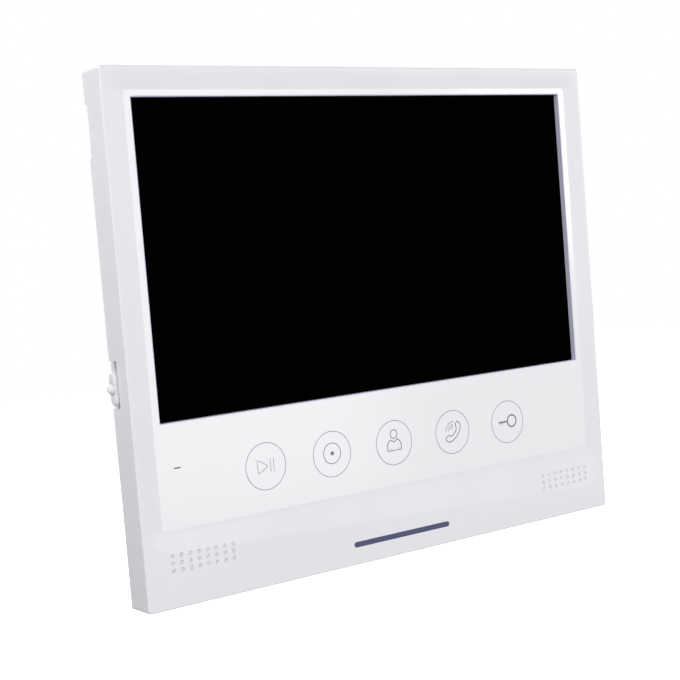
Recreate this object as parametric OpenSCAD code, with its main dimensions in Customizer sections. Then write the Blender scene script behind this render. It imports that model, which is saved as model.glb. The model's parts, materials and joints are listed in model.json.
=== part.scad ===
// Wall-hung video intercom monitor on a hook bracket.
// The wall is the plane y = 0, the screen faces -Y, +Z is up, and the origin is the middle of the
// bracket's back face. Millimetres.

/* [Body] */
// Width of the casing
body_w = 172; // [170:0.5:176]
// Height of the casing
body_h = 144; // [143:0.5:150]
// Distance from the wall to the front rim
total_depth = 22; // [22:0.1:24]
// Depth of the side wall, from the front rim to its rear edge
side_depth = 10; // [9.8:0.1:10.2]
// Thickness of the casing walls
wall = 1.8; // [1.6:0.1:1.9]
// Radius of the casing's outer corners
corner_r = 1; // [0.8:0.1:3]

/* [Front panel] */
// Width of the glossy panel
panel_w = 159; // [157:0.5:160]
// Height of the glossy panel above and below its own middle
panel_h = 117; // [115:0.5:118]
// Height of the panel's middle above the casing's middle
panel_z = 7.3; // [6.8:0.1:7.8]
// Thickness of the panel
panel_t = 1; // [0.8:0.1:1.1]
// How far the panel's face lies behind the rim
panel_recess = 0.8; // [0.6:0.1:1]
// Width of the screen opening
screen_w = 154.8; // [153:0.1:155]
// Height of the screen opening
screen_h = 86.7; // [85:0.1:87]
// Height of the screen's middle above the casing's middle
screen_z = 20.8; // [20.5:0.1:21.3]

/* [Touch keys] */
// Number of touch keys
key_count = 5; // [2:1:5]
// Distance between two keys
key_pitch = 22.7; // [20:0.1:23]
// Outer radius of a key's printed ring
key_r = 6.7; // [5:0.1:7]
// Height of the keys' middles
key_z = -38.5; // [-39:0.1:-38]
// Width of the printed lines
line_w = 0.25; // [0.2:0.05:0.4]

/* [Grilles] */
// Columns of holes in a grille
grille_cols = 8; // [4:1:8]
// Rows of holes in a grille
grille_rows = 3; // [2:1:3]
// Distance from the middle of the casing to a grille's middle
grille_x = 68; // [66:0.5:69]
// Height of a grille's middle row
grille_z = -59.8; // [-60.5:0.1:-59]
// Distance between columns
grille_pitch_x = 2.7; // [2.2:0.1:2.7]
// Distance between rows
grille_pitch_z = 2; // [1.8:0.1:2.2]
// Radius of a grille hole
grille_hole_r = 0.45; // [0.4:0.05:0.6]

/* [Wall bracket] */
// Width of the bracket
bracket_w = 100; // [98:1:101]
// Height of the bracket
bracket_h = 72; // [70:1:73]
// Thickness of the bracket's sheet
bracket_t = 1.2; // [1:0.1:1.3]
// How far the monitor lifts to come off the hooks
lift = 6; // [5:0.5:6]
// Radius of the bracket's screw holes
screw_hole_r = 2.1; // [1.8:0.1:2.3]
// Distance between the corner screw holes, across
corner_holes_w = 68; // [60:1:70]
// Distance between the corner screw holes, upwards
corner_holes_h = 56; // [50:1:58]
// Distance between the two wall-box slots
box_slots_w = 60; // [60:1:62]
// Length of a wall-box slot from end to end
box_slot_l = 8; // [6:0.5:9]

/* [Side control] */
// Height of the control's middle
jog_z = -12; // [-13:0.1:-11]
// Length of the lever from tip to tip
jog_l = 9.3; // [8:0.1:9.4]
// Width of the lever, front to back
jog_w = 3.6; // [3:0.1:3.6]
// Radius of the round button on the lever
jog_button_r = 1.5; // [1.2:0.1:1.6]

/* [Hidden] */
$fn = 48;

// Colours
shell_white = [0.93, 0.93, 0.94];
panel_white = [0.97, 0.97, 0.98];
ink_grey = [0.66, 0.67, 0.70];
ink_navy = [0.28, 0.30, 0.45];
surround_grey = [0.61, 0.62, 0.67];
screen_black = [0.01, 0.01, 0.012];
sheet_steel = [0.74, 0.75, 0.77];
board_green = [0.10, 0.36, 0.22];
part_black = [0.07, 0.07, 0.08];
film_amber = [0.72, 0.42, 0.12];
foam_grey = [0.30, 0.31, 0.33];

// Planes along Y, from the front rim to the wall
eps = 0.01;
y_rim = -total_depth;
y_edge = y_rim + side_depth;
y_panel = y_rim + panel_recess;
y_panel_back = y_panel + panel_t;
tape_t = 0.1;
y_web = y_panel_back + tape_t;
web_t = 0.7;
y_web_back = y_web + web_t;
y_inner = y_rim + wall;
y_lcd = y_web_back + 0.1;
lcd_t = 3.4;
y_lcd_back = y_lcd + lcd_t;
y_sheet = y_lcd_back + 0.1;
sheet_t = 0.2;
ribbon_t = 0.2;
board_t = 1.2;
y_board = y_rim + 7.4;
y_board_back = y_board + board_t;
y_housing = -1;
pocket_gap = 3.4;
y_floor = -bracket_t - pocket_gap;

// Casing
ledge = 2.6;
flange_inset = 1.5;
housing_w = body_w - 20;
housing_h = body_h - 20;
housing_r = 6;
web_bottom = -53.4;
web_w = 166;
dish_run = 4;
dish_bottom = -60.5;
surround_t = 0.2;
grille_skin = 0.8;
ink_t = 0.04;
print_w = 36;
print_h = 1.6;
print_z = -66;
lcd_w = 164.9;
lcd_h = 100;
lcd_z = screen_z - 1.9;
glass_w = 158;
glass_h = 90.5;
glass_t = 1.15;
tip_r = 0.5;
catch_w = 6;
catches = [-66, -22, 22, 66];
tongue_w = 14;
tongues = [-44, 0, 44];
speaker_wall_h = 3;
vent_l = 12;
vent_w = 1.6;
vent_count = 10;
vent_pitch = 4;
vent_bottom = -2;
pad_r = 3.5;
pad_t = 0.9;
pad_x = 66;
pad_z = 54;
label_w = 50;
label_h = 12;
label_z = -53;

// Slot for the memory card and cut-out for the side control, both open at the side wall's rear edge
card_slot_z = 56;
socket_z = 55.3;
card_slot_l = 14.2;
card_slot_depth = 1.4;
jog_cut_top = -4.6;
jog_cut_bottom = -17.3;
jog_cut_depth = 4.5;

// Fasteners: shank radius, radius of the hole that holds it, head radius and head height
shank_r = 1;
held_r = 1.05;
clear_r = 1.3;
head_r = 2.2;
head_h = 1;
recess_l = 2.4;
recess_w = 0.6;
recess_depth = 0.5;
boss_r = 2.8;
clamp_boss_r = 2.4;
key_boss_r = 1.9;
board_hole_r = 1.2;
cover_screws = [[-80.5, -47], [80.5, -47], [-40, -66.4], [40, -66.4]];
board_screws_at = [[-66, -22], [60, -20], [-62, 53], [60, 53]];
clamp_x = 79.6;
clamp_z = -34.8;
key_board_screws = [[-66, -39.2], [-17, -43.4], [57, -39.2]];

// Bracket and hooks
hooks = [[-43, 18], [43, 18], [-43, -16], [43, -16]];
hook_w = 6;
hook_reach = 7.9;
hook_tab = 4.5;
hook_window = 7;
bracket_flange = 3.4;
bracket_window_w = 40;
bracket_window_h = 28;
pocket_w = bracket_w + 5;
pocket_top = bracket_h / 2 + 1.2;
pocket_bottom = -bracket_h / 2 - lift - 1.2;
bay_w = 60;
bay_h = 18;

// Boards
board_left = -82.5;
board_right = 64;
board_bottom = -26;
board_top = 62.5;
key_board_left = -76;
key_board_right = 60;
key_board_bottom = -45.5;
key_board_top = -33;
capacitor_x = 59;
capacitor_r = 3.15;
capacitor_h = 5.4;
y_key_board = y_web_back + 2.2;
electrode_r = 5;
electrode_hole_r = 5.3;
status_x = -73.3;
status_z = -34.6;
status_hole_r = 1.3;
dash_l = 2;
dash_w = 0.4;

// Sound
speaker_w = 29;
speaker_h = 14;
magnet_r = 5.6;
yoke_r = 4.5;
coil_r = 3.6;
speaker_x = grille_x - 1;
speaker_z = -60.6;
mic_r = 4.85;

// Side control along X
jog_y = y_rim + 7.65;
jog_face_x = -body_w / 2 - 0.9;
jog_pivot_x = -83.5;
jog_pin_r = 0.4;
jog_hub_r = 0.7;
jog_body_x = -81.6;

// ---------- Shared shapes ----------

// A flat shape drawn in X and Z, thickened from y0 to y1
module slab(y0, y1) {
    translate([0, y1, 0])
        rotate([90, 0, 0])
            linear_extrude(height = y1 - y0) children();
}

// A flat shape drawn in Y and Z, thickened from x0 to x1
module bar_x(x0, x1) {
    translate([x0, 0, 0])
        rotate([90, 0, 90])
            linear_extrude(height = x1 - x0) children();
}

// Rectangle with true round corners, centred
module round_rect(w, h, r) {
    square([w - 2 * r, h], center = true);
    square([w, h - 2 * r], center = true);
    for (x = [-1, 1], z = [-1, 1])
        translate([x * (w / 2 - r), z * (h / 2 - r)]) circle(r);
}

// Rectangle between two corners
module span(x0, z0, x1, z1) {
    translate([x0, z0]) square([x1 - x0, z1 - z0]);
}

// Slot with round ends, lying along X
module long_hole(l, r) {
    square([l - 2 * r, 2 * r], center = true);
    for (x = [-1, 1])
        translate([x * (l / 2 - r), 0]) circle(r);
}

// Flat ring
module ring(r, w) {
    difference() {
        circle(r);
        circle(r - w);
    }
}

// Straight rod along Y
module rod_y(x, z, y0, y1, r) {
    slab(y0, y1) translate([x, z]) circle(r);
}

// Screw along Y: shank from y_tip to y_seat, round head beyond the seat on the +Y or -Y side
module screw(x, z, y_tip, y_seat, side) {
    rod_y(x, z, min(y_tip, y_seat), max(y_tip, y_seat), shank_r);
    difference() {
        rod_y(x, z, min(y_seat, y_seat + side * head_h), max(y_seat, y_seat + side * head_h), head_r);
        y_out = y_seat + side * head_h;
        slab(y_out - recess_depth, y_out + recess_depth) translate([x, z]) {
            square([recess_l, recess_w], center = true);
            square([recess_w, recess_l], center = true);
        }
    }
}

// Direction of a path at its point i, and the sideways step that gives a ribbon its thickness
function heading(path, i) = path[min(i + 1, len(path) - 1)] - path[max(i - 1, 0)];
function side_step(path, i) = let (d = heading(path, i)) [-d[1], d[0]] * ribbon_t / norm(d);

// Thin ribbon through a list of [y, z] points, from x0 to x1
module ribbon(path, x0, x1) {
    last = len(path) - 1;
    far_side = [for (i = [0 : last]) path[last - i] + side_step(path, last - i)];
    bar_x(x0, x1) polygon(concat(path, far_side));
}

// Round wire through a list of points, with a ball at each bend
module wire(points, r) {
    for (i = [0 : len(points) - 2]) {
        d = points[i + 1] - points[i];
        translate(points[i])
            rotate([0, acos(d[2] / norm(d)), atan2(d[1], d[0])])
                cylinder(r = r, h = norm(d), $fn = 24);
    }
    for (i = [1 : len(points) - 2])
        translate(points[i]) sphere(r * 1.05, $fn = 24);
}

// Positions of the key centres
function key_x(i) = (i - (key_count - 1) / 2) * key_pitch;

// Area that one grille's cloth covers
module grille_area() {
    round_rect(grille_cols * grille_pitch_x + 1, grille_rows * grille_pitch_z + 1.6, 1);
}

// Holes of one grille
module grille_holes(side) {
    for (i = [0 : grille_cols - 1], j = [0 : grille_rows - 1]) {
        x = side * grille_x + (i - (grille_cols - 1) / 2) * grille_pitch_x;
        z = grille_z + (j - (grille_rows - 1) / 2) * grille_pitch_z;
        rod_y(x, z, y_rim - 1, y_inner + 1, grille_hole_r);
    }
}

// ---------- Wall side ----------

module hook(x, z) {
    slab(-hook_reach, -bracket_t / 2) span(x - hook_w / 2, z - bracket_t, x + hook_w / 2, z);
    slab(-hook_reach, -hook_reach + bracket_t)
        span(x - hook_w / 2, z - bracket_t, x + hook_w / 2, z + hook_tab);
}

module wall_bracket() color(sheet_steel) {
    difference() {
        slab(-bracket_t, 0) round_rect(bracket_w, bracket_h, 4);
        slab(-bracket_t - 1, 1) round_rect(bracket_window_w, bracket_window_h, 3);
        for (x = [-1, 1]) {
            slab(-bracket_t - 1, 1) translate([x * box_slots_w / 2, 0]) long_hole(box_slot_l, screw_hole_r);
            for (z = [-1, 1])
                rod_y(x * corner_holes_w / 2, z * corner_holes_h / 2, -bracket_t - 1, 1, screw_hole_r);
        }
        // The openings left where the hooks are bent out of the sheet
        for (p = hooks)
            slab(-bracket_t - 1, 1)
                span(p[0] - hook_w / 2 - 0.3, p[1] - bracket_t - hook_window,
                     p[0] + hook_w / 2 + 0.3, p[1] - bracket_t);
    }
    for (p = hooks) hook(p[0], p[1]);
    for (x = [-1, 1])
        slab(-bracket_flange, -bracket_t / 2)
            translate([x * (bracket_w - bracket_t) / 2, 0])
                square([bracket_t, bracket_h - 16], center = true);
}

// ---------- Casing ----------

module bezel_body() {
    difference() {
        slab(y_rim, y_edge) round_rect(body_w, body_h, corner_r);
        slab(y_inner, y_edge + 1) round_rect(body_w - 2 * wall, body_h - 2 * wall, tip_r);
    }
    // Thicker plate behind the panel
    slab(y_inner - eps, y_web_back) span(-web_w / 2, web_bottom, web_w / 2, body_h / 2 - wall + eps);
    // Bosses for the rear cover's screws and the display clamps
    for (p = cover_screws) rod_y(p[0], p[1], y_inner - eps, y_edge, boss_r);
    for (x = [-1, 1]) rod_y(x * clamp_x, clamp_z, y_web_back - eps, y_lcd_back, clamp_boss_r);
    for (p = key_board_screws) rod_y(p[0], p[1], y_web_back - eps, y_key_board, key_boss_r);
    // Catches over the display's upper edge
    for (x = catches)
        slab(y_lcd_back + 0.1, y_lcd_back + 1.2)
            span(x - catch_w / 2, lcd_z + lcd_h / 2 - 1.6, x + catch_w / 2, body_h / 2 - wall + eps);
    // Walls that hold the speaker
    slab(y_inner - eps, y_inner + speaker_wall_h) difference() {
        translate([speaker_x, speaker_z]) round_rect(speaker_w + 2.6, speaker_h + 2.6, 3);
        translate([speaker_x, speaker_z]) round_rect(speaker_w + 0.6, speaker_h + 0.6, 2);
    }
}

module front_bezel() color(shell_white) difference() {
    bezel_body();
    // Shallow dish from the rim down to the panel
    hull() {
        slab(y_panel, y_panel + 0.1) span(-panel_w / 2 - 0.2, panel_z - panel_h / 2 - 0.2,
                                          panel_w / 2 + 0.2, panel_z + panel_h / 2 + 0.2);
        slab(y_rim - 0.1, y_rim) span(-panel_w / 2 - dish_run, dish_bottom,
                                      panel_w / 2 + dish_run, panel_z + panel_h / 2 + dish_run);
    }
    // Pocket for the panel, opening for the screen, holes for the electrodes and the status light
    slab(y_rim, y_web) translate([0, panel_z]) round_rect(panel_w + 0.4, panel_h + 0.4, 1);
    slab(y_web - 1, y_web_back + 1)
        translate([0, screen_z]) square([screen_w + ledge, screen_h + ledge], center = true);
    for (i = [0 : key_count - 1])
        rod_y(key_x(i), key_z, y_web - 1, y_web_back + 1, electrode_hole_r);
    rod_y(status_x, status_z, y_web - 1, y_web_back + 1, status_hole_r);
    // Grilles: holes through a thinner skin
    for (side = [-1, 1]) {
        grille_holes(side);
        slab(y_rim + grille_skin, y_inner + eps) translate([side * grille_x, grille_z]) grille_area();
    }
    // Side cut-outs, open at the rear edge
    bar_x(-body_w / 2 - 1, -body_w / 2 + wall + 1) {
        span(y_edge - card_slot_depth, card_slot_z - card_slot_l / 2,
             y_edge + 1, card_slot_z + card_slot_l / 2);
        span(y_edge - jog_cut_depth, jog_cut_bottom, y_edge + 1, jog_cut_top);
    }
    // Screw holes in the bosses
    for (p = cover_screws) rod_y(p[0], p[1], y_edge - 6.5, y_edge + 1, held_r);
    for (x = [-1, 1]) rod_y(x * clamp_x, clamp_z, y_web_back + 0.2, y_lcd_back + 1, held_r);
    for (p = key_board_screws) rod_y(p[0], p[1], y_web_back + 0.2, y_key_board + 1, held_r);
}

// Outline of the rear cover's raised housing, and of the bracket pocket in it
module housing_outline(inset) {
    round_rect(housing_w - 2 * inset, housing_h - 2 * inset, housing_r - inset);
}

module pocket_outline(grow) {
    translate([0, (pocket_top + pocket_bottom) / 2])
        round_rect(pocket_w + 2 * grow, pocket_top - pocket_bottom + 2 * grow, 3 + grow);
}

module rear_shell() {
    difference() {
        union() {
            slab(y_edge, y_edge + wall)
                round_rect(body_w - 2 * flange_inset, body_h - 2 * flange_inset, corner_r);
            slab(y_edge, y_housing) housing_outline(0);
        }
        difference() {
            slab(y_edge - 1, y_housing - wall) housing_outline(wall);
            slab(y_floor - wall, y_housing) pocket_outline(wall);
        }
        slab(y_floor, y_housing + 1) pocket_outline(0);
    }
    // Bosses that carry the main board
    for (p = board_screws_at) rod_y(p[0], p[1], y_board_back, y_housing - wall + eps, boss_r);
    // Tongues that catch behind the casing's upper wall
    for (x = tongues)
        slab(y_edge - 2.6, y_edge + eps)
            span(x - tongue_w / 2, body_h / 2 - wall - 1.5, x + tongue_w / 2, body_h / 2 - wall - 0.3);
}

module rear_cover() color(shell_white) difference() {
    rear_shell();
    // Connector bay
    slab(y_floor - wall - 1, y_floor + 1) round_rect(bay_w, bay_h, 2);
    // Hook slots
    for (p = hooks)
        slab(y_floor - wall - 1, y_floor + 1)
            span(p[0] - hook_w / 2 - 1, p[1] - bracket_t - lift - 0.8, p[0] + hook_w / 2 + 1, p[1] + 0.15);
    // Vents beside the pocket
    for (x = [-1, 1], i = [0 : vent_count - 1])
        slab(y_housing - wall - 1, y_housing + 1)
            translate([x * (housing_w + pocket_w) / 4, vent_bottom + i * vent_pitch])
                long_hole(vent_l, vent_w / 2);
    for (p = board_screws_at) rod_y(p[0], p[1], y_board_back - 1, y_board_back + 5, held_r);
    for (p = cover_screws) rod_y(p[0], p[1], y_edge - 1, y_edge + wall + 1, clear_r);
    // Relief beside the memory-card slot
    slab(y_edge - 1, y_edge + wall + 1) translate([-body_w / 2 + flange_inset, card_slot_z]) circle(3);
}

module rear_cover_screws() color(sheet_steel)
    for (p = cover_screws) screw(p[0], p[1], y_edge - 6, y_edge + wall, 1);

module rating_label() color(panel_white)
    slab(y_housing, y_housing + 0.1) translate([0, label_z]) round_rect(label_w, label_h, 1);

module rubber_pads() color(part_black)
    for (x = [-1, 1], z = [-1, 1]) rod_y(x * pad_x, z * pad_z, y_housing, y_housing + pad_t, pad_r);

// ---------- Front panel ----------

module front_panel() color(panel_white) slab(y_panel, y_panel_back) difference() {
    translate([0, panel_z]) round_rect(panel_w, panel_h, 1);
    translate([0, screen_z]) square([screen_w, screen_h], center = true);
}

module panel_tape() color(foam_grey) slab(y_panel_back, y_web) difference() {
    translate([0, panel_z]) square([panel_w - 1, panel_h - 1], center = true);
    translate([0, screen_z]) square([screen_w + ledge, screen_h + ledge], center = true);
    for (i = [0 : key_count - 1]) translate([key_x(i), key_z]) circle(electrode_hole_r);
    translate([status_x, status_z]) circle(status_hole_r);
}

// Symbols, drawn in units of the key ring's radius
module symbol(i) {
    thin = 0.05;
    // Play and pause
    if (i == 0) {
        difference() {
            polygon([[-0.41, 0.31], [0.12, 0], [-0.41, -0.31]]);
            polygon([[-0.35, 0.21], [0.01, 0], [-0.35, -0.21]]);
        }
        for (x = [0.25, 0.41]) translate([x, 0]) square([thin, 0.62], center = true);
    }
    // Record
    if (i == 1) {
        ring(0.46, thin);
        circle(0.1);
    }
    // Head and shoulders
    if (i == 2) {
        translate([0, 0.38]) ring(0.2, thin);
        intersection() {
            translate([0, -0.3]) ring(0.42, thin);
            square([1, 0.6], center = true);
        }
        translate([0, -0.32]) square([0.84, thin], center = true);
    }
    // Handset with a pad at each end, and its sound waves
    if (i == 3) {
        intersection() {
            translate([-0.42, 0.42]) ring(0.93, 0.16);
            translate([-0.32, -0.5]) square([0.86, 0.93]);
        }
        translate([0.34, 0.3]) circle(0.13);
        translate([-0.25, -0.3]) circle(0.13);
        for (r = [0.24, 0.36, 0.48]) intersection() {
            translate([0.08, 0]) ring(r, thin);
            translate([-0.42, 0.06]) square(0.46);
        }
    }
    // Door key
    if (i == 4) {
        translate([0.27, 0]) ring(0.28, thin);
        translate([-0.28, 0]) square([0.54, 0.07], center = true);
        for (x = [-0.48, -0.32]) translate([x, -0.07]) square([0.06, 0.12], center = true);
    }
}

module key_legends() color(ink_grey) slab(y_panel - ink_t, y_panel) {
    for (i = [0 : key_count - 1]) translate([key_x(i), key_z]) {
        ring(key_r, line_w);
        scale(key_r) symbol(i);
    }
    translate([status_x, status_z]) square([dash_l, dash_w], center = true);
}

// Plain printed bar in the middle of the chin
module chin_print() color(ink_navy)
    slab(y_rim - ink_t, y_rim) translate([0, print_z]) long_hole(print_w, print_h / 2);

// Thin frame that lines the screen opening down to the glass
module screen_surround() color(surround_grey) slab(y_panel + 0.1, y_lcd) difference() {
    translate([0, screen_z]) square([screen_w, screen_h], center = true);
    translate([0, screen_z]) square([screen_w - 2 * surround_t, screen_h - 2 * surround_t], center = true);
}

// ---------- Display ----------

module lcd_glass() color(screen_black)
    slab(y_lcd + 0.05, y_lcd + 0.05 + glass_t)
        translate([0, screen_z]) square([glass_w, glass_h], center = true);

module lcd_frame() color(sheet_steel) difference() {
    slab(y_lcd, y_lcd_back) translate([0, lcd_z]) square([lcd_w, lcd_h], center = true);
    slab(y_lcd + 0.05, y_lcd_back + 1)
        translate([0, lcd_z]) square([lcd_w - 0.6, lcd_h - 0.6], center = true);
    slab(y_lcd - 1, y_lcd + 1)
        translate([0, screen_z]) square([screen_w - surround_t, screen_h - surround_t], center = true);
}

module lcd_backlight() color(panel_white) slab(y_lcd + 1.25, y_lcd_back)
    translate([0, lcd_z]) square([lcd_w - 1, lcd_h - 1], center = true);

// Ribbon that leaves the display's back, turns under its lower edge and rises behind the main board
module lcd_flex() color(film_amber) {
    z_turn = lcd_z - lcd_h / 2 - 1;
    y_up = y_board_back + 0.5;
    ribbon([[y_lcd_back, z_turn + 4], [y_lcd_back, z_turn], [y_lcd_back + 0.8, z_turn - 1.2],
            [y_up - 0.8, z_turn - 1.2], [y_up, z_turn], [y_up, board_bottom + 2.2]], -13, 13);
}

// Spring clips under the display's lower edge
module lcd_clamps() color(sheet_steel) for (x = [-1, 1]) difference() {
    slab(y_lcd_back, y_lcd_back + 0.6)
        translate([x * clamp_x, clamp_z + 3]) round_rect(5, 12, 1);
    rod_y(x * clamp_x, clamp_z, y_lcd_back - 1, y_lcd_back + 2, clear_r);
}

module lcd_clamp_screws() color(sheet_steel)
    for (x = [-1, 1]) screw(x * clamp_x, clamp_z, y_web_back + 0.4, y_lcd_back + 0.6, 1);

module insulation_sheet() color(film_amber) slab(y_sheet, y_sheet + sheet_t)
    span(-79, board_bottom + 1, 79, 66);

// ---------- Key board ----------

module touch_board() color(board_green) difference() {
    slab(y_key_board, y_key_board + 1)
        span(key_board_left, key_board_bottom, key_board_right, key_board_top);
    for (p = key_board_screws) rod_y(p[0], p[1], y_key_board - 1, y_key_board + 2, board_hole_r);
}

module touch_board_screws() color(sheet_steel)
    for (p = key_board_screws) screw(p[0], p[1], y_web_back + 0.4, y_key_board + 1, 1);

// Foam pads that carry each key's field to the panel, with a hole for the light
module touch_electrodes() color(part_black)
    for (i = [0 : key_count - 1]) slab(y_panel_back, y_key_board)
        translate([key_x(i), key_z]) ring(electrode_r, electrode_r - 2);

module key_leds() color("white") slab(y_key_board - 0.6, y_key_board) {
    for (i = [0 : key_count - 1]) translate([key_x(i), key_z]) square([1.6, 0.8], center = true);
    translate([status_x, status_z]) square([1.6, 0.8], center = true);
}

module status_light_pipe() color([0.85, 0.9, 0.95])
    rod_y(status_x, status_z, y_panel_back, y_key_board - 0.7, 1.2);

module key_flex() color(film_amber)
    ribbon([[y_key_board + 1 + ribbon_t, key_board_top - 5], [y_key_board + 1 + ribbon_t, key_board_top - 1],
            [y_board_back + 0.4, board_bottom - 3], [y_board_back + 0.4, board_bottom + 3]], 21, 33);

// ---------- Main board ----------

module main_board() color(board_green) difference() {
    slab(y_board, y_board_back) difference() {
        span(board_left, board_bottom, board_right, board_top);
        span(board_left - 1, jog_z - 5.2, -74, jog_z + 5.2);
    }
    for (p = board_screws_at) rod_y(p[0], p[1], y_board - 1, y_board_back + 1, board_hole_r);
}

module board_screws() color(sheet_steel)
    for (p = board_screws_at) screw(p[0], p[1], y_board_back + 4.6, y_board, -1);

module on_board(h) {
    slab(y_board_back, y_board_back + h) children();
}

module processor_shield() color(sheet_steel) difference() {
    on_board(2.6) translate([-36, 41]) square([34, 24], center = true);
    slab(y_board_back - 1, y_board_back + 2.3) translate([-36, 41]) square([33.4, 23.4], center = true);
}

module memory_chips() color(part_black) {
    on_board(1) for (x = [-2, 14]) translate([x, 44]) square([11, 14], center = true);
    on_board(1.2) translate([-30, 12]) square([10, 10], center = true);
    on_board(1.2) translate([14, 18]) square([8, 6], center = true);
    on_board(1.1) translate([-5, -21.5]) square([30, 4.4], center = true);
}

module capacitors() color([0.2, 0.22, 0.3])
    for (z = [2, 12, 22]) rod_y(capacitor_x, z, y_board_back, y_board_back + capacitor_h, capacitor_r);

module power_coils() color(foam_grey)
    on_board(3.2) for (z = [34, 43]) translate([44, z]) round_rect(7.6, 7.6, 1.5);

// Card socket: a flat metal shell, open towards the slot in the side wall
module sd_socket() color(sheet_steel) difference() {
    on_board(1.3) translate([-76.2, socket_z]) square([14.2, 13], center = true);
    slab(y_board_back + 0.25, y_board_back + 1.1)
        translate([-77.4, socket_z]) square([13.6, 11.4], center = true);
}

// Row of pin headers, mouths towards the wall
module header(x, ways) {
    pitch = 2.5;
    w = ways * pitch + 2.4;
    difference() {
        on_board(6.2) translate([x, 0]) square([w, 5.8], center = true);
        slab(y_board_back + 1.2, y_floor) translate([x, 0]) square([w - 1.4, 4.4], center = true);
    }
    for (i = [0 : ways - 1])
        slab(y_board_back + 1, y_board_back + 5.4)
            translate([x + (i - (ways - 1) / 2) * pitch, 0]) square(0.64, center = true);
}

module door_headers() color("white") for (x = [-20, -5, 10]) header(x, 4);

module power_header() color(part_black) header(23, 2);

// ---------- Sound ----------

module speaker_outline(inset) {
    translate([speaker_x, speaker_z])
        round_rect(speaker_w - 2 * inset, speaker_h - 2 * inset, speaker_h / 2 - inset - 2);
}

module grille_cloths() color(foam_grey) slab(y_rim + grille_skin, y_rim + grille_skin + 0.2)
    for (side = [-1, 1]) translate([side * grille_x, grille_z]) grille_area();

module speaker_gasket() color(part_black) slab(y_inner, y_inner + 0.8) difference() {
    speaker_outline(0);
    speaker_outline(1.2);
}

module speaker_frame() color(part_black) difference() {
    slab(y_inner + 0.8, y_inner + 4) speaker_outline(0);
    slab(y_inner + 0.7, y_inner + 3.2) speaker_outline(1.2);
    rod_y(speaker_x, speaker_z, y_inner + 3, y_inner + 5, yoke_r + 0.1);
}

module speaker_cone() color([0.12, 0.12, 0.13]) {
    slab(y_inner + 0.9, y_inner + 1.2) speaker_outline(1.2);
    rod_y(speaker_x, speaker_z, y_inner + 1.1, y_inner + 3.2, coil_r);
}

module speaker_magnet() color(sheet_steel) {
    rod_y(speaker_x, speaker_z, y_inner + 4, y_inner + 7, magnet_r);
    rod_y(speaker_x, speaker_z, y_inner + 3.3, y_inner + 4, yoke_r);
}

module microphone_boot() color(part_black) difference() {
    rod_y(-grille_x, grille_z, y_inner, y_inner + 6, mic_r + 1.3);
    rod_y(-grille_x, grille_z, y_inner + 1, y_inner + 7, mic_r);
    rod_y(-grille_x, grille_z, y_inner - 1, y_inner + 2, 2);
}

module microphone_capsule() color([0.8, 0.8, 0.78])
    rod_y(-grille_x, grille_z, y_inner + 1, y_inner + 5.4, mic_r - 0.02);

// The inner leads: each runs from its transducer to the main board's lower edge
lead_r = 0.6;
lead_y = y_board_back + lead_r;
speaker_lead_path = [[57, y_inner + 4, -57], [57, lead_y, -57], [57, lead_y, -24]];
mic_lead_path = [[-65, y_inner + 5.4, -58], [-65, lead_y, -58], [-65, lead_y, -46], [-56, lead_y, -46],
                 [-56, lead_y, -24]];

module speaker_lead() color([0.75, 0.1, 0.1]) wire(speaker_lead_path, lead_r);

module microphone_lead() color(foam_grey) wire(mic_lead_path, lead_r);

// ---------- Side control ----------

module jog_switch_body() color(part_black) difference() {
    slab(y_board - 0.8, y_board_back + 1) span(jog_body_x, jog_z - 4.6, -74.6, jog_z + 4.6);
    bar_x(jog_body_x - 1, -76.4) translate([jog_y, jog_z]) circle(held_r);
}

// Sliding carrier: a shank, a fork and the pivot pin
module jog_plunger() color(foam_grey) {
    bar_x(jog_pivot_x + 0.75, -77.2) translate([jog_y, jog_z]) circle(shank_r);
    bar_x(jog_pivot_x + 0.75, jog_pivot_x + 1.15)
        translate([jog_y, jog_z]) square([2.8, 1.8], center = true);
    for (y = [-1, 1])
        bar_x(jog_pivot_x - 0.5, jog_pivot_x + 1.15)
            translate([jog_y + y * 1.15, jog_z]) square([0.5, 1.8], center = true);
    rod_y(jog_pivot_x, jog_z, jog_y - 1, jog_y + 1, jog_pin_r);
}

// Lever with its round button, on the pivot pin
module jog_rocker() color(shell_white) difference() {
    union() {
        bar_x(jog_face_x, jog_pivot_x - 1)
            translate([jog_y, jog_z]) rotate(90) long_hole(jog_l, jog_w / 2);
        translate([jog_face_x + 0.2, jog_y, jog_z]) sphere(jog_button_r);
        bar_x(jog_pivot_x - 1.1, jog_pivot_x)
            translate([jog_y, jog_z]) square([1.7, 1.2], center = true);
        rod_y(jog_pivot_x, jog_z, jog_y - 0.85, jog_y + 0.85, jog_hub_r);
    }
    rod_y(jog_pivot_x, jog_z, jog_y - 3, jog_y + 3, jog_pin_r + 0.05);
}

wall_bracket();
front_bezel();
front_panel();
panel_tape();
key_legends();
chin_print();
screen_surround();
lcd_glass();
lcd_frame();
lcd_backlight();
lcd_flex();
lcd_clamps();
lcd_clamp_screws();
insulation_sheet();
touch_board();
touch_electrodes();
key_leds();
status_light_pipe();
touch_board_screws();
key_flex();
main_board();
processor_shield();
memory_chips();
capacitors();
power_coils();
sd_socket();
jog_switch_body();
board_screws();
door_headers();
power_header();
speaker_frame();
speaker_cone();
speaker_magnet();
speaker_gasket();
speaker_lead();
microphone_capsule();
microphone_boot();
microphone_lead();
grille_cloths();
rear_cover();
rear_cover_screws();
rating_label();
rubber_pads();
jog_plunger();
jog_rocker();
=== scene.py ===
"""Looks for the video intercom monitor: shells, panel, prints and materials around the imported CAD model."""

import json
import math

import bmesh
import bpy
from mathutils import Matrix, Vector


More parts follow.
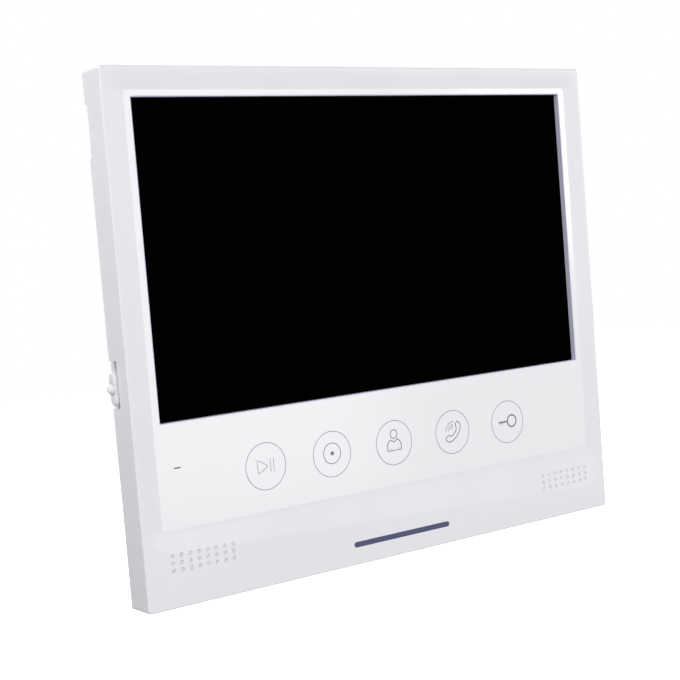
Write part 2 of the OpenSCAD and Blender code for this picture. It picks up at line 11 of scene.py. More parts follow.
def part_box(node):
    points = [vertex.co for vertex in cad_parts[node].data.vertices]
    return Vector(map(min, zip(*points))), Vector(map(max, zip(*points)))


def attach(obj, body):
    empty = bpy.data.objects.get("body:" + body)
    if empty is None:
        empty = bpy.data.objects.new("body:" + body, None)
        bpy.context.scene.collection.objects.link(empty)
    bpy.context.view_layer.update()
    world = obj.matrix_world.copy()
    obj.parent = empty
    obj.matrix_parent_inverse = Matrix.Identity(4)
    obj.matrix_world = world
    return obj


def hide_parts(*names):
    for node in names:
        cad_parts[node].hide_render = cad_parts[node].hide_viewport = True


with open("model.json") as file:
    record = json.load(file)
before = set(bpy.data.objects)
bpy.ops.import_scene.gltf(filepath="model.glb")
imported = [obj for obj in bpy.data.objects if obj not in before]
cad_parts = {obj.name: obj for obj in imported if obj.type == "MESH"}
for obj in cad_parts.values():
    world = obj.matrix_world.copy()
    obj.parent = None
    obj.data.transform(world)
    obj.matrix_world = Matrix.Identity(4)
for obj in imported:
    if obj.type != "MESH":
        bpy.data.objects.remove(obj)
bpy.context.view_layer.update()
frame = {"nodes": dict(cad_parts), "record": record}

MM = 0.001
MONITOR, LEVER = "monitor", "jog_lever"

# ---------- Places read from the CAD model, in metres ----------

bezel_lo, bezel_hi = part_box("front_bezel")
panel_lo, panel_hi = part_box("front_panel")
opening_lo, opening_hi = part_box("screen_surround")
frame_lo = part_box("lcd_frame")[0]
cloth_lo, cloth_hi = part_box("grille_cloths")
keys_lo, keys_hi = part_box("key_legends")
rocker_lo, rocker_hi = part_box("jog_rocker")
socket_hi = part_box("sd_socket")[1]

# The front shell: its wall, its front and rear edges, and the web that carries the panel on thin tape
WALL = 1.8 * MM
TAPE = 0.1 * MM
RIM_Y = bezel_lo.y
EDGE_Y = bezel_hi.y
PANEL_Y = panel_lo.y
WEB_FRONT_Y = panel_hi.y + TAPE
WEB_BACK_Y = frame_lo.y - 0.1 * MM


# ---------- Mesh helpers ----------

def collection_link(obj):
    """Puts the object into the scene."""
    bpy.context.scene.collection.objects.link(obj)
    return obj


def shade(mesh, angle_deg=32.0):
    """Smooth shading that stays crisp at edges sharper than the angle."""
    bm = bmesh.new()
    bm.from_mesh(mesh)
    limit = math.radians(angle_deg)
    for face in bm.faces:
        face.smooth = True
    for edge in bm.edges:
        edge.smooth = len(edge.link_faces) == 2 and edge.calc_face_angle(0.0) < limit
    bm.to_mesh(mesh)
    bm.free()


def mesh_from(name, verts, faces):
    """A mesh with its faces turned outwards."""
    mesh = bpy.data.meshes.new(name)
    mesh.from_pydata([tuple(v) for v in verts], [], faces)
    bm = bmesh.new()
    bm.from_mesh(mesh)
    bmesh.ops.recalc_face_normals(bm, faces=bm.faces)
    bm.to_mesh(mesh)
    bm.free()
    return mesh


def new_object(name, mesh):
    return collection_link(bpy.data.objects.new(name, mesh))


def applied(obj):
    """The object's mesh with its modifiers worked in, and the modifiers gone."""
    depsgraph = bpy.context.evaluated_depsgraph_get()
    depsgraph.update()
    mesh = bpy.data.meshes.new_from_object(obj.evaluated_get(depsgraph))
    old = obj.data
    obj.modifiers.clear()
    obj.data = mesh
    bpy.data.meshes.remove(old)
    return obj


def boolean(obj, tool_mesh, operation):
    """Cuts the tool mesh out of the object, or joins it on."""
    tool = new_object("tool", tool_mesh)
    mod = obj.modifiers.new("boolean", "BOOLEAN")
    mod.operation = operation
    mod.solver = "EXACT"
    mod.object = tool
    applied(obj)
    bpy.data.objects.remove(tool)


def crisp(obj, angle_deg=32.0):
    """Smooth shading with normals that follow the larger faces."""
    shade(obj.data, angle_deg)
    weighted = obj.modifiers.new("weighted", "WEIGHTED_NORMAL")
    weighted.keep_sharp = True
    applied(obj)


def soften(obj, width, segments=2, angle_deg=30.0):
    """Small round edges, with flat faces kept flat."""
    bevel = obj.modifiers.new("bevel", "BEVEL")
    bevel.width = width
    bevel.segments = segments
    bevel.limit_method = "ANGLE"
    bevel.angle_limit = math.radians(angle_deg)
    bevel.miter_outer = "MITER_ARC"
    bevel.use_clamp_overlap = True
    applied(obj)
    crisp(obj)


def finish_piece(obj, slot, body, *nodes):
    """The piece gets its look, rides on its body and stands in for CAD nodes."""
    obj.data.materials.clear()
    obj.data.materials.append(LOOKS[slot])
    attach(obj, body)
    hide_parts(*nodes)


def softened_node(node, width):
    """A copy of a CAD node whose edges are rounded, standing in for it."""
    bm = bmesh.new()
    bm.from_mesh(frame["nodes"][node].data)
    bmesh.ops.remove_doubles(bm, verts=bm.verts, dist=1e-6)
    bmesh.ops.dissolve_limit(bm, angle_limit=math.radians(1.0), verts=bm.verts, edges=bm.edges)
    mesh = bpy.data.meshes.new(node + "_finished")
    bm.to_mesh(mesh)
    bm.free()
    obj = new_object(mesh.name, mesh)
    soften(obj, width)
    finish_piece(obj, SLOT_OF[node], BODY_OF[node], node)


def outline(lo_x, lo_z, hi_x, hi_z, radius, low_radius=None, corner_steps=8, side_steps=14):
    """Points of a rounded rectangle in X and Z, always the same number, so that loops can be skinned."""
    top, low = radius, radius if low_radius is None else low_radius
    corners = [
        (hi_x - top, hi_z - top, 0.0, top),
        (lo_x + top, hi_z - top, 90.0, top),
        (lo_x + low, lo_z + low, 180.0, low),
        (hi_x - low, lo_z + low, 270.0, low),
    ]
    arcs = []
    for cx, cz, start, r in corners:
        angles = [math.radians(start + 90.0 * i / corner_steps) for i in range(corner_steps + 1)]
        arcs.append([(cx + r * math.cos(a), cz + r * math.sin(a)) for a in angles])
    points = []
    for i, arc in enumerate(arcs):
        points += arc
        (x0, z0), (x1, z1) = arc[-1], arcs[(i + 1) % 4][0]
        for k in range(1, side_steps):
            t = k / side_steps
            points.append((x0 + (x1 - x0) * t, z0 + (z1 - z0) * t))
    return points


def at_depth(points, y):
    """The outline's points as a loop at one depth."""
    return [Vector((x, y, z)) for x, z in points]


def mix_loops(a, b, t):
    """An outline part of the way from one to another."""
    return [(p[0] + (q[0] - p[0]) * t, p[1] + (q[1] - p[1]) * t) for p, q in zip(a, b)]


def skin(name, loops, closed=True, caps=False):
    """A mesh through loops of points. Closed joins the last loop to the first, caps fills the two ends."""
    count = len(loops[0])
    verts = [p for loop in loops for p in loop]
    faces = []
    pairs = len(loops) if closed else len(loops) - 1
    for i in range(pairs):
        a, b = i * count, ((i + 1) % len(loops)) * count
        for k in range(count):
            n = (k + 1) % count
            faces.append((a + k, a + n, b + n, b + k))
    if caps:
        faces.append(tuple(range(count)))
        faces.append(tuple(range((len(loops) - 1) * count, len(loops) * count)))
    return mesh_from(name, verts, faces)


def box_mesh(*corner_pairs):
    """Boxes as one tool mesh, each from its low and high corner."""
    verts, faces = [], []
    for (x0, y0, z0), (x1, y1, z1) in corner_pairs:
        base = len(verts)
        verts += [(x, y, z) for x in (x0, x1) for y in (y0, y1) for z in (z0, z1)]
        quads = [(0, 1, 3, 2), (4, 6, 7, 5), (0, 4, 5, 1), (2, 3, 7, 6), (0, 2, 6, 4), (1, 5, 7, 3)]
        faces += [tuple(base + i for i in quad) for quad in quads]
    return mesh_from("boxes", verts, faces)


def turned(name, centre, axis, profile, steps=48):
    """A solid of revolution. Profile is (distance along the axis, radius), with the ends closed."""
    axis = Vector(axis).normalized()
    side = axis.orthogonal().normalized()
    up = axis.cross(side)
    loops = []
    for along, radius in profile:
        ring = []
        for k in range(steps):
            a = 2 * math.pi * k / steps
            ring.append(Vector(centre) + axis * along + (side * math.cos(a) + up * math.sin(a)) * radius)
        loops.append(ring)
    return skin(name, loops, closed=False, caps=True)


def joined(name, meshes):
    """Several meshes as one, which takes the others' place."""
    bm = bmesh.new()
    for mesh in meshes:
        bm.from_mesh(mesh)
        bpy.data.meshes.remove(mesh)
    out = bpy.data.meshes.new(name)
    bm.to_mesh(out)
    bm.free()
    return out


# ---------- Materials ----------

def material(name, base, roughness, **sockets):
    """A principled material, with its even numbers set on the shader."""
    mat = bpy.data.materials.new(name)
    mat.use_nodes = True
    shader = mat.node_tree.nodes["Principled BSDF"]
    shader.inputs["Base Color"].default_value = (*base, 1.0)
    shader.inputs["Roughness"].default_value = roughness
    for socket, value in sockets.items():
        shader.inputs[socket.replace("_", " ")].default_value = value
    return mat


def node(mat, kind, **values):
    """A new shader node, with values for its sockets or its settings."""
    made = mat.node_tree.nodes.new(kind)
    for key, value in values.items():
        if key in made.inputs:
            made.inputs[key].default_value = value
        else:
            setattr(made, key, value)
    return made


def link(mat, out_socket, in_socket):
    mat.node_tree.links.new(out_socket, in_socket)


def mottle(mat, base, spread, scale, detail=3.0):
    """Slight colour variation over the surface."""
    coords = node(mat, "ShaderNodeTexCoord")
    noise = node(mat, "ShaderNodeTexNoise", Scale=scale, Detail=detail)
    ramp = node(mat, "ShaderNodeValToRGB")
    ramp.color_ramp.elements[0].position = 0.3
    ramp.color_ramp.elements[1].position = 0.7
    ramp.color_ramp.elements[0].color = (*[max(0.0, c * (1 - spread)) for c in base], 1.0)
    ramp.color_ramp.elements[1].color = (*[min(1.0, c * (1 + spread)) for c in base], 1.0)
    link(mat, coords.outputs["Object"], noise.inputs["Vector"])
    link(mat, noise.outputs["Fac"], ramp.inputs["Fac"])
    link(mat, ramp.outputs["Color"], mat.node_tree.nodes["Principled BSDF"].inputs["Base Color"])
    return coords


def grain(mat, coords, scale, distance, strength=0.3, stretch=(1, 1, 1)):
    """Fine bump, such as the texture of a moulding or the lay of a sheet."""
    mapping = node(mat, "ShaderNodeMapping")
    mapping.inputs["Scale"].default_value = stretch
    noise = node(mat, "ShaderNodeTexNoise", Scale=scale, Detail=4.0)
    bump = node(mat, "ShaderNodeBump", Strength=strength, Distance=distance)
    link(mat, coords.outputs["Object"], mapping.inputs["Vector"])
    link(mat, mapping.outputs["Vector"], noise.inputs["Vector"])
    link(mat, noise.outputs["Fac"], bump.inputs["Height"])
    link(mat, bump.outputs["Normal"], mat.node_tree.nodes["Principled BSDF"].inputs["Normal"])
    return noise


def rough_range(mat, noise, low, high):
    """Roughness that drifts between two values."""
    spread = node(mat, "ShaderNodeMapRange")
    spread.inputs["To Min"].default_value = low
    spread.inputs["To Max"].default_value = high
    link(mat, noise.outputs["Fac"], spread.inputs["Value"])
    link(mat, spread.outputs["Result"], mat.node_tree.nodes["Principled BSDF"].inputs["Roughness"])


def moulded(name, base, roughness, grain_scale=2600.0, depth=0.02 * MM, spread=0.012):
    """Moulded plastic with a fine satin texture."""
    mat = material(name, base, roughness)
    coords = mottle(mat, base, spread, 35.0)
    noise = grain(mat, coords, grain_scale, depth, 0.25)
    rough_range(mat, noise, roughness - 0.05, roughness + 0.06)
    return mat


def polished(name, base, roughness, spread=0.006):
    """Polished plastic or glass with a faint waviness."""
    mat = material(name, base, roughness)
    coords = mottle(mat, base, spread, 20.0)
    noise = grain(mat, coords, 60.0, 0.01 * MM, 0.05)
    rough_range(mat, noise, roughness * 0.8, roughness * 1.3)
    return mat


def sheet_metal(name, base, roughness, stretch=(1, 1, 1), spread=0.08):
    """Plated sheet or wire: drawn lines and a patchy bloom."""
    mat = material(name, base, roughness, Metallic=1.0)
    coords = mottle(mat, base, spread, 60.0, 6.0)
    noise = grain(mat, coords, 900.0, 0.01 * MM, 0.2, stretch)
    rough_range(mat, noise, roughness - 0.08, roughness + 0.12)
    return mat


def circuit_board(name):
    """Green solder mask with lighter copper runs under it."""
    base = (0.012, 0.10, 0.045)
    mat = material(name, base, 0.35)
    coords = node(mat, "ShaderNodeTexCoord")
    mapping = node(mat, "ShaderNodeMapping")
    mapping.inputs["Scale"].default_value = (330, 330, 330)
    bricks = node(mat, "ShaderNodeTexBrick", Scale=1.0)
    bricks.inputs["Mortar Size"].default_value = 0.06
    bricks.inputs["Color1"].default_value = (*base, 1)
    bricks.inputs["Color2"].default_value = (0.014, 0.12, 0.055, 1)
    bricks.inputs["Mortar"].default_value = (0.03, 0.20, 0.09, 1)
    swap = node(mat, "ShaderNodeCombineXYZ")
    split = node(mat, "ShaderNodeSeparateXYZ")
    link(mat, coords.outputs["Object"], mapping.inputs["Vector"])
    link(mat, mapping.outputs["Vector"], split.inputs["Vector"])
    link(mat, split.outputs["X"], swap.inputs["X"])
    link(mat, split.outputs["Z"], swap.inputs["Y"])
    link(mat, swap.outputs["Vector"], bricks.inputs["Vector"])
    shader = mat.node_tree.nodes["Principled BSDF"]
    link(mat, bricks.outputs["Color"], shader.inputs["Base Color"])
    bump = node(mat, "ShaderNodeBump", Strength=0.3, Distance=0.03 * MM)
    link(mat, bricks.outputs["Fac"], bump.inputs["Height"])
    link(mat, bump.outputs["Normal"], shader.inputs["Normal"])
    return mat


def mesh_cloth(name, base):
    """Fine woven dust cloth."""
    mat = material(name, base, 0.85, Sheen_Weight=0.2)
    coords = node(mat, "ShaderNodeTexCoord")
    checks = node(mat, "ShaderNodeTexChecker", Scale=5000.0)
    checks.inputs["Color1"].default_value = (*base, 1)
    checks.inputs["Color2"].default_value = (*[c * 0.8 for c in base], 1)
    link(mat, coords.outputs["Object"], checks.inputs["Vector"])
    shader = mat.node_tree.nodes["Principled BSDF"]
    link(mat, checks.outputs["Color"], shader.inputs["Base Color"])
    bump = node(mat, "ShaderNodeBump", Strength=0.4, Distance=0.03 * MM)
    link(mat, checks.outputs["Fac"], bump.inputs["Height"])
    link(mat, bump.outputs["Normal"], shader.inputs["Normal"])
    return mat


LOOKS = {
    "shell_white": moulded("shell_white", (0.807, 0.807, 0.846), 0.48),
    "cover_white": moulded("cover_white", (0.80, 0.80, 0.815), 0.52, 1800.0, 0.04 * MM),
    "panel_gloss": polished("panel_gloss", (0.90, 0.897, 0.925), 0.14),
    "ink_grey": moulded("ink_grey", (0.17, 0.16, 0.23), 0.5),
    "ink_navy": moulded("ink_navy", (0.060, 0.066, 0.16), 0.45),
    # Lining of the screen opening: its blue-grey is painted shade with a painted bluish reflection, standing
    # in for the opening's white edge in shade beside the black screen
    "surround_grey": moulded("surround_grey", (0.70, 0.71, 0.88), 0.45),
    "screen_black": polished("screen_black", (0.0004, 0.0004, 0.0004), 0.25),
    "bright_steel": sheet_metal("bright_steel", (0.62, 0.63, 0.66), 0.30, (1, 1, 0.05)),
    "zinc_sheet": sheet_metal("zinc_sheet", (0.60, 0.61, 0.63), 0.42, (0.05, 1, 1)),
    "screw_steel": sheet_metal("screw_steel", (0.50, 0.50, 0.53), 0.33),
    "tray_white": moulded("tray_white", (0.80, 0.80, 0.77), 0.45),
    "film_amber": polished("film_amber", (0.52, 0.24, 0.04), 0.25, 0.05),
    "foam_dark": moulded("foam_dark", (0.04, 0.04, 0.045), 0.9, 1500.0, 0.1 * MM),
    "board_green": circuit_board("board_green"),
    "led_white": polished("led_white", (0.86, 0.86, 0.74), 0.2),
    "clear_pipe": polished("clear_pipe", (0.92, 0.95, 0.97), 0.1),
    "chip_black": moulded("chip_black", (0.018, 0.018, 0.02), 0.5, 3000.0),
    "capacitor_can": sheet_metal("capacitor_can", (0.58, 0.59, 0.62), 0.3),
    "ferrite_grey": moulded("ferrite_grey", (0.06, 0.06, 0.065), 0.6, 2000.0),
    "cone_black": moulded("cone_black", (0.03, 0.03, 0.033), 0.6),
    "wire_red": moulded("wire_red", (0.42, 0.02, 0.02), 0.4),
    "wire_grey": moulded("wire_grey", (0.12, 0.12, 0.13), 0.4),
    "capsule_metal": sheet_metal("capsule_metal", (0.66, 0.66, 0.65), 0.3),
    "rubber_black": moulded("rubber_black", (0.022, 0.022, 0.024), 0.75, 1200.0, 0.04 * MM),
    "cloth_grey": mesh_cloth("cloth_grey", (0.84, 0.84, 0.87)),
    "label_silver": polished("label_silver", (0.62, 0.63, 0.65), 0.3, 0.02),
    "plunger_grey": moulded("plunger_grey", (0.18, 0.18, 0.2), 0.45),
}

# CAD nodes whose edges are rounded, with the width of the rounding
SOFT_EDGES = {
    "rear_cover": 0.35 * MM,
    "wall_bracket": 0.2 * MM,
    "rear_cover_screws": 0.12 * MM,
    "rubber_pads": 0.25 * MM,
    "door_headers": 0.1 * MM,
    "power_header": 0.1 * MM,
    "screen_surround": 0.04 * MM,
}

# Material slot and body of each CAD node, from the record
SLOT_OF = {entry["node"]: entry["material_slot"] for entry in frame["record"]["subparts"]}
BODY_OF = {n: body for body, nodes in frame["record"]["behaviour"]["bodies"].items() for n in nodes}

# Clear acrylic for the status light's pipe
LOOKS["clear_pipe"].node_tree.nodes["Principled BSDF"].inputs["Transmission Weight"].default_value = 0.9
# The display is switched off and its cover film is anti-reflective
LOOKS["screen_black"].node_tree.nodes["Principled BSDF"].inputs["Specular IOR Level"].default_value = 0.0


def dress_cad_nodes():
    """Every CAD node that stays gets its procedural finish."""
    for name, obj in frame["nodes"].items():
        obj.data.materials.clear()
        obj.data.materials.append(LOOKS[SLOT_OF[name]])


# ---------- Front shell ----------

EDGE_FILLET = 0.45 * MM
REAR_CHAMFER = 0.25 * MM
CORNER_R = 1.0 * MM
LEDGE = 1.3 * MM
# The dish: its depth, its runs out to the crease, the crease's corners and slope, and its ramp's even part
DISH_DEPTH = PANEL_Y - RIM_Y + 0.08 * MM
DISH_RUN = 5.6 * MM
DISH_RUN_TOP = 5.3 * MM
DISH_BOTTOM = -60.9 * MM
TOP_CORNER_R = 5.0 * MM
LOW_CORNER_R = 8.0 * MM
CREASE_SLOPE = -0.05
RAMP_END = 0.74
POCKET_GAP = 0.012 * MM
POCKET_CORNER = 0.8 * MM
# Side cut-outs: bottom, top and depth from the rear edge
JOG_CUT = (-17.3 * MM, -4.6 * MM, 4.5 * MM)
CARD_CUT = (48.9 * MM, 63.1 * MM, 1.4 * MM)
# The rib's window for the lever's hub, and the top of the card slot's shoulder
RIB_WINDOW_BOTTOM, RIB_WINDOW_TOP = -13.9 * MM, -10.1 * MM
SHOULDER_TOP = 64.0 * MM
# Grilles: columns and rows, pitches, and the width of one cloth
GRILLE_COLUMNS, GRILLE_ROWS = 8, 3
GRILLE_PITCH_X, GRILLE_PITCH_Z = 2.7 * MM, 2.0 * MM
CLOTH_WIDTH = 22.6 * MM


def clamped(share):
    return min(max(share, 0.0), 1.0)


def ramp(t):
    """Share of the dish's depth: an even slope from the crease, level beside the panel."""
    if t < RAMP_END:
        return 2 * t / (1 + RAMP_END)
    return 1 - (1 - t) ** 2 / (1 - RAMP_END ** 2)


def chin_crease_z(x):
    """Height of the crease across the chin, which runs a little lower to the right."""
    return DISH_BOTTOM + CREASE_SLOPE * x


def chin_depth(x, z):
    """Depth of the dish at a place on the chin."""
    crease_z = chin_crease_z(x)
    return DISH_DEPTH * ramp(clamped((z - crease_z) / (panel_lo.z - crease_z)))


def dish_loop(crease, pocket, t):
    """One loop of the dish, from its outer crease (0) to the panel's edge (1)."""
    points = []
    for (x, z), (_, crease_z) in zip(mix_loops(crease, pocket, t), crease):
        high = clamped((crease_z - crease[0][1]) / TOP_CORNER_R)
        share = (1 - high) * ramp(t) + high * t ** 1.2
        points.append(Vector((x, RIM_Y + DISH_DEPTH * share, z)))
    return points


def crease_outline():
    """The dish's outer edge. Its lower part is sheared to the crease's slope, and the sides blend into it."""
    level = outline(panel_lo.x - DISH_RUN, DISH_BOTTOM, panel_hi.x + DISH_RUN, panel_hi.z + DISH_RUN_TOP,
                    TOP_CORNER_R, LOW_CORNER_R)
    blend_from = DISH_BOTTOM + 2.5 * LOW_CORNER_R
    return [(x, z + CREASE_SLOPE * x * clamped((blend_from - z) / LOW_CORNER_R)) for x, z in level]


def shell_loops():
    """Loops from the rear edge, over the front, down the panel's pocket and back along the inside."""

    def inset(d, radius):
        return outline(bezel_lo.x + d, bezel_lo.z + d, bezel_hi.x - d, bezel_hi.z - d, radius)

    # Side wall, with a rear chamfer and a round front edge
    loops = [at_depth(inset(REAR_CHAMFER, CORNER_R), EDGE_Y)]
    loops.append(at_depth(inset(0.0, CORNER_R), EDGE_Y - REAR_CHAMFER))
    for share in (0.25, 0.5, 0.75):
        loops.append(at_depth(inset(0.0, CORNER_R), EDGE_Y + (RIM_Y + EDGE_FILLET - EDGE_Y) * share))
    for i in range(7):
        a = math.radians(15.0 * i)
        d = EDGE_FILLET * (1 - math.cos(a))
        loops.append(at_depth(inset(d, max(CORNER_R - d, 0.3 * MM)), RIM_Y + EDGE_FILLET * (1 - math.sin(a))))
    # Dish and pocket
    crease = crease_outline()
    pocket = outline(panel_lo.x - POCKET_GAP, panel_lo.z - POCKET_GAP,
                     panel_hi.x + POCKET_GAP, panel_hi.z + POCKET_GAP, POCKET_CORNER)
    steps = 14
    for i in range(steps + 1):
        loops.append(dish_loop(crease, pocket, i / steps))
    loops.append(at_depth(pocket, WEB_FRONT_Y))
    # Web with its window, and the inside of the wall
    window = outline(opening_lo.x - LEDGE, opening_lo.z - LEDGE,
                     opening_hi.x + LEDGE, opening_hi.z + LEDGE, 0.5 * MM)
    loops.append(at_depth(window, WEB_FRONT_Y))
    loops.append(at_depth(window, WEB_BACK_Y))
    loops.append(at_depth(inset(WALL, 0.5 * MM), WEB_BACK_Y))
    loops.append(at_depth(inset(WALL, 0.5 * MM), EDGE_Y))
    return loops


def cloth_spans():
    """Left and right end of each cloth."""
    return ((cloth_lo.x, cloth_lo.x + CLOTH_WIDTH), (cloth_hi.x - CLOTH_WIDTH, cloth_hi.x))


def grille_centres():
    """Centre of each grille hole, from the cloths' places."""
    middle_z = (cloth_lo.z + cloth_hi.z) / 2
    for x0, x1 in cloth_spans():
        for i in range(GRILLE_COLUMNS):
            for j in range(GRILLE_ROWS):
                yield ((x0 + x1) / 2 + (i - (GRILLE_COLUMNS - 1) / 2) * GRILLE_PITCH_X,
                       middle_z + (j - (GRILLE_ROWS - 1) / 2) * GRILLE_PITCH_Z)


def cut_hollows(obj):
    """Thinner skin behind each grille, and the chin's hollow."""
    inner_y = RIM_Y + WALL
    web_bottom = panel_lo.z - 2.2 * MM
    chin = ((bezel_lo.x + WALL, inner_y, bezel_lo.z + WALL), (bezel_hi.x - WALL, WEB_BACK_Y + MM, web_bottom))
    skins = [((x0, cloth_lo.y, cloth_lo.z), (x1, inner_y + 0.5 * MM, cloth_hi.z)) for x0, x1 in cloth_spans()]
    boolean(obj, box_mesh(chin, *skins), "DIFFERENCE")


def cut_sides(obj):
    """Cut-outs for the side control and the card slot, open at the rear edge."""
    x0, x1 = bezel_lo.x - MM, bezel_lo.x + WALL + MM
    cuts = []
    for bottom, top, depth in (JOG_CUT, CARD_CUT):
        cuts.append(((x0, EDGE_Y - depth, bottom), (x1, EDGE_Y + MM, top)))
    boolean(obj, box_mesh(*cuts), "DIFFERENCE")


def cut_grilles(obj):
    """Grille holes, wider at the face than behind."""
    hole = [(-0.2, 0.66), (0.02, 0.58), (0.12, 0.49), (0.25, 0.45), (1.5, 0.45)]
    profile = [(depth * MM, radius * MM) for depth, radius in hole]
    tools = []
    for x, z in grille_centres():
        tools.append(turned("hole", (x, RIM_Y + chin_depth(x, z), z), (0, 1, 0), profile, 20))
    boolean(obj, joined("holes", tools), "DIFFERENCE")


def add_rib(obj):
    """Rib inside the side control's cut-out: a shallow tray with a window for the lever's hub."""
    bottom, top, depth = JOG_CUT
    rib_x = bezel_lo.x + WALL + 0.5 * MM
    tray = box_mesh(((rib_x - 0.6 * MM, EDGE_Y - depth - 1.1 * MM, bottom - 1.1 * MM),
                     (rib_x + 0.4 * MM, EDGE_Y - 0.04 * MM, top + 1.2 * MM)))
    rib = new_object("rib", tray)
    recess = box_mesh(((rib_x - MM, EDGE_Y - depth - 0.5 * MM, bottom - 0.3 * MM),
                       (rib_x, EDGE_Y + MM, top + 0.4 * MM)))
    boolean(rib, recess, "DIFFERENCE")
    window = box_mesh(((rib_x - MM, EDGE_Y - 4.4 * MM, RIB_WINDOW_BOTTOM),
                       (rib_x + MM, EDGE_Y - 0.4 * MM, RIB_WINDOW_TOP)))
    boolean(rib, window, "DIFFERENCE")
    boolean(obj, rib.data.copy(), "UNION")
    bpy.data.objects.remove(rib)


def add_shoulder(obj):
    """Shoulder that closes the part of the card slot above the socket's mouth."""
    shoulder = box_mesh(((bezel_lo.x + WALL - 0.3 * MM, EDGE_Y - 2 * MM, socket_hi.z + 0.1 * MM),
                         (bezel_lo.x + WALL + 0.9 * MM, EDGE_Y - 0.05 * MM, SHOULDER_TOP)))
    boolean(obj, shoulder, "UNION")


def make_front_shell():
    obj = new_object("front_shell", skin("front_shell", shell_loops()))
    for step in (cut_hollows, cut_sides, cut_grilles, add_rib, add_shoulder):
        step(obj)
    crisp(obj, 28.0)
    finish_piece(obj, "shell_white", MONITOR, "front_bezel")


# ---------- Front panel and grille cloths ----------

def make_front_panel():
    """Glossy panel with rounded outer edges and a bright chamfer round the screen opening."""
    lo, hi = panel_lo, panel_hi
    loops = []
    edge = 0.06 * MM
    for i in range(5):
        a = math.radians(22.5 * i)
        d = edge * (1 - math.cos(a))
        ring = outline(lo.x + d, lo.z + d, hi.x - d, hi.z - d, POCKET_CORNER - d)
        loops.append(at_depth(ring, lo.y + edge * (1 - math.sin(a))))
    chamfer = 0.12 * MM
    x0, z0, x1, z1 = opening_lo.x, opening_lo.z, opening_hi.x, opening_hi.z
    rim = outline(x0 - chamfer, z0 - chamfer, x1 + chamfer, z1 + chamfer, 0.5 * MM)
    opening = outline(x0, z0, x1, z1, 0.35 * MM)
    loops.append(at_depth(rim, lo.y))
    loops.append(at_depth(opening, lo.y + chamfer))
    loops.append(at_depth(opening, hi.y))
    loops.append(at_depth(outline(lo.x, lo.z, hi.x, hi.z, POCKET_CORNER), hi.y))
    obj = new_object("touch_panel", skin("touch_panel", loops))
    crisp(obj, 30.0)
    finish_piece(obj, "panel_gloss", MONITOR, "front_panel")


def make_grille_cloths():
    """Dust cloth behind each grille, pressed into the holes to just short of the face."""
    slabs = [((x0, cloth_lo.y, cloth_lo.z), (x1, cloth_hi.y, cloth_hi.z)) for x0, x1 in cloth_spans()]
    obj = new_object("dust_cloths", box_mesh(*slabs))
    # Share of the bulge's height, and radius
    bulge = [(0.68, 0.44), (0.9, 0.37), (0.97, 0.2), (1.0, 0.05)]
    short_of_face = 0.07 * MM
    domes = []
    for x, z in grille_centres():
        height = cloth_lo.y - RIM_Y - chin_depth(x, z) - short_of_face
        profile = [(-0.05 * MM, 0.44 * MM)] + [(height * share, radius * MM) for share, radius in bulge]
        domes.append(turned("dome", (x, cloth_lo.y, z), (0, -1, 0), profile, 16))
    boolean(obj, joined("domes", domes), "UNION")
    shade(obj.data, 40.0)
    finish_piece(obj, "cloth_grey", MONITOR, "grille_cloths")


# ---------- Printed keys ----------

KEY_PITCH = 22.7 * MM
RING_LINE = 0.18 * MM
INK_HEIGHT = 0.03 * MM
# Status dash: its middle, half its length and its width
DASH_X, DASH_Z = -73.3 * MM, -34.6 * MM
DASH_HALF = 1.0 * MM
DASH_LINE = 0.4 * MM


def stroke(points, width, centre, unit, closed=False):
    """A printed line through (x, z) points in key units, as a low rounded ridge of ink."""
    curve = bpy.data.curves.new("stroke", "CURVE")
    curve.dimensions = "3D"
    curve.bevel_depth = width / 2
    curve.bevel_resolution = 2
    curve.use_fill_caps = True
    spline = curve.splines.new("POLY")
    spline.points.add(len(points) - 1)
    spline.use_cyclic_u = closed
    for target, (x, z) in zip(spline.points, points):
        target.co = (centre[0] + x * unit, PANEL_Y, centre[1] + z * unit, 1.0)
    obj = new_object("stroke", curve)
    depsgraph = bpy.context.evaluated_depsgraph_get()
    depsgraph.update()
    mesh = bpy.data.meshes.new_from_object(obj.evaluated_get(depsgraph))
    bpy.data.objects.remove(obj)
    flatten = INK_HEIGHT / (width / 2)
    for v in mesh.vertices:
        v.co.y = PANEL_Y + (v.co.y - PANEL_Y) * flatten
    return mesh


def arc(cx, cz, radius, start_deg, end_deg, steps=24):
    """Points along an arc."""
    angles = [math.radians(start_deg + (end_deg - start_deg) * i / steps) for i in range(steps + 1)]
    return [(cx + radius * math.cos(a), cz + radius * math.sin(a)) for a in angles]


def circle(cx, cz, radius, steps=96):
    """Points round a circle, the last one step short of the first."""
    return arc(cx, cz, radius, 0.0, 360.0 * (steps - 1) / steps, steps - 1)


def rounded(points, radius, steps=6):
    """A closed outline with its corners rounded off."""
    out = []
    for i, (x, z) in enumerate(points):
        corner = Vector((x, z))
        before, after = Vector(points[i - 1]), Vector(points[(i + 1) % len(points)])
        start = corner + (before - corner).normalized() * radius
        end = corner + (after - corner).normalized() * radius
        for k in range(steps + 1):
            t = k / steps
            p = start * (1 - t) ** 2 + corner * 2 * t * (1 - t) + end * t ** 2
            out.append((p.x, p.y))
    return out


def smooth_path(points, closed=False, steps=6):
    """A Catmull-Rom curve through the points."""
    out = []
    count = len(points)
    for i in range(count if closed else count - 1):
        if closed:
            p0, p1, p2, p3 = (Vector(points[(i + k) % count]) for k in (-1, 0, 1, 2))
        else:
            p0, p1, p2, p3 = (Vector(points[min(max(i + k, 0), count - 1)]) for k in (-1, 0, 1, 2))
        for k in range(steps):
            t = k / steps
            p = 0.5 * (2 * p1 + (p2 - p0) * t + (2 * p0 - 5 * p1 + 4 * p2 - p3) * t * t
                       + (3 * p1 - p0 - 3 * p2 + p3) * t ** 3)
            out.append((p.x, p.y))
    if not closed:
        out.append(tuple(points[-1]))
    return out


